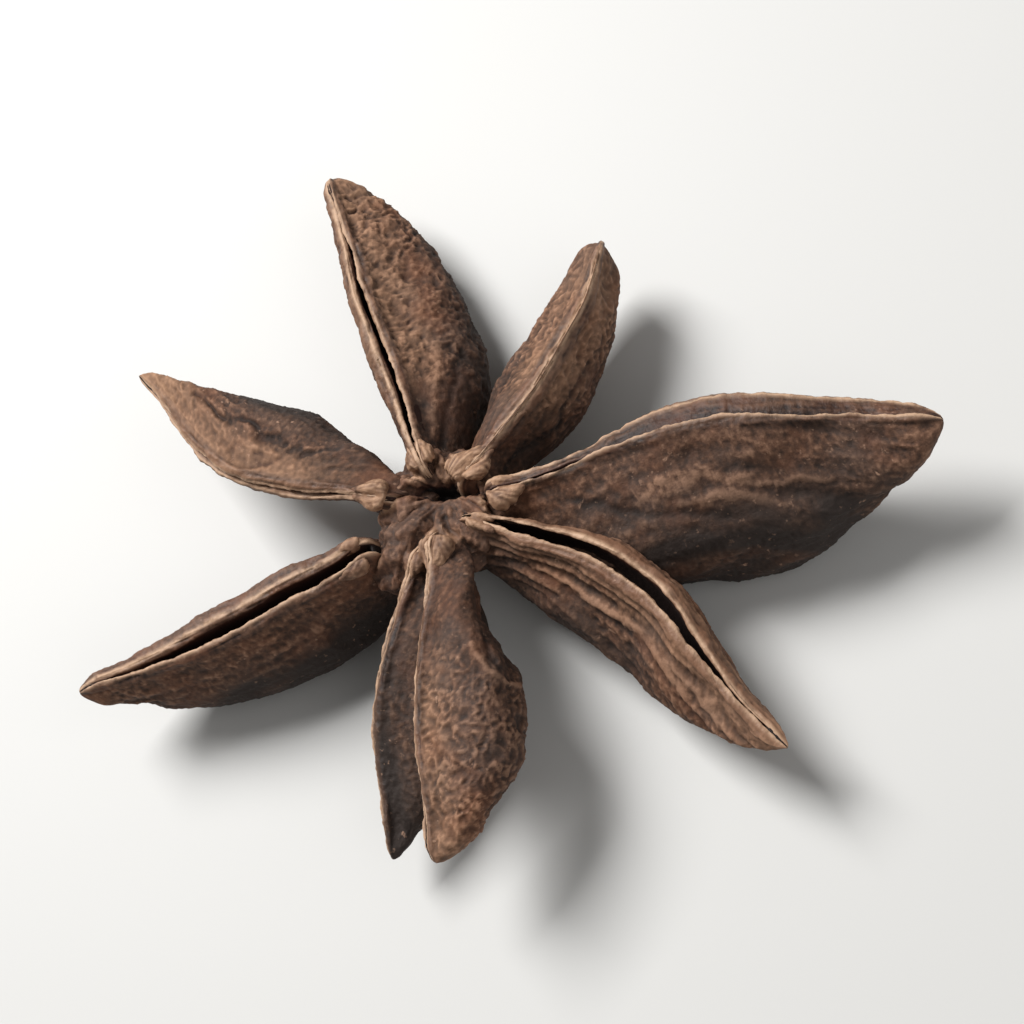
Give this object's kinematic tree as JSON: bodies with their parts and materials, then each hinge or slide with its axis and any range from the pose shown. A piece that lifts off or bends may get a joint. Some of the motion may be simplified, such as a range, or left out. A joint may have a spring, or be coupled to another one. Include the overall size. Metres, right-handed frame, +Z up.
{
  "type": "star anise pod",
  "caption": "Dried star anise fruit: woody boat-shaped carpels with split seams, set like the arms of a star round a short column, lying open side up.",
  "frame": {"origin": "centre of the flat stalk scar on the underside, on the surface that the pod rests on", "axes": "+Z up, out of the open side of the star; +X along the longest carpel, to within a few degrees"},
  "size_m": [0.0333, 0.0277, 0.0061],
  "materials": {
    "husk": "dried fruit husk: matt brown, fine-grained and wrinkled, with smoother tan lips along the seams"
  },
  "bodies": {
    "root": {"pod": "husk"}
  },
  "joints": []
}
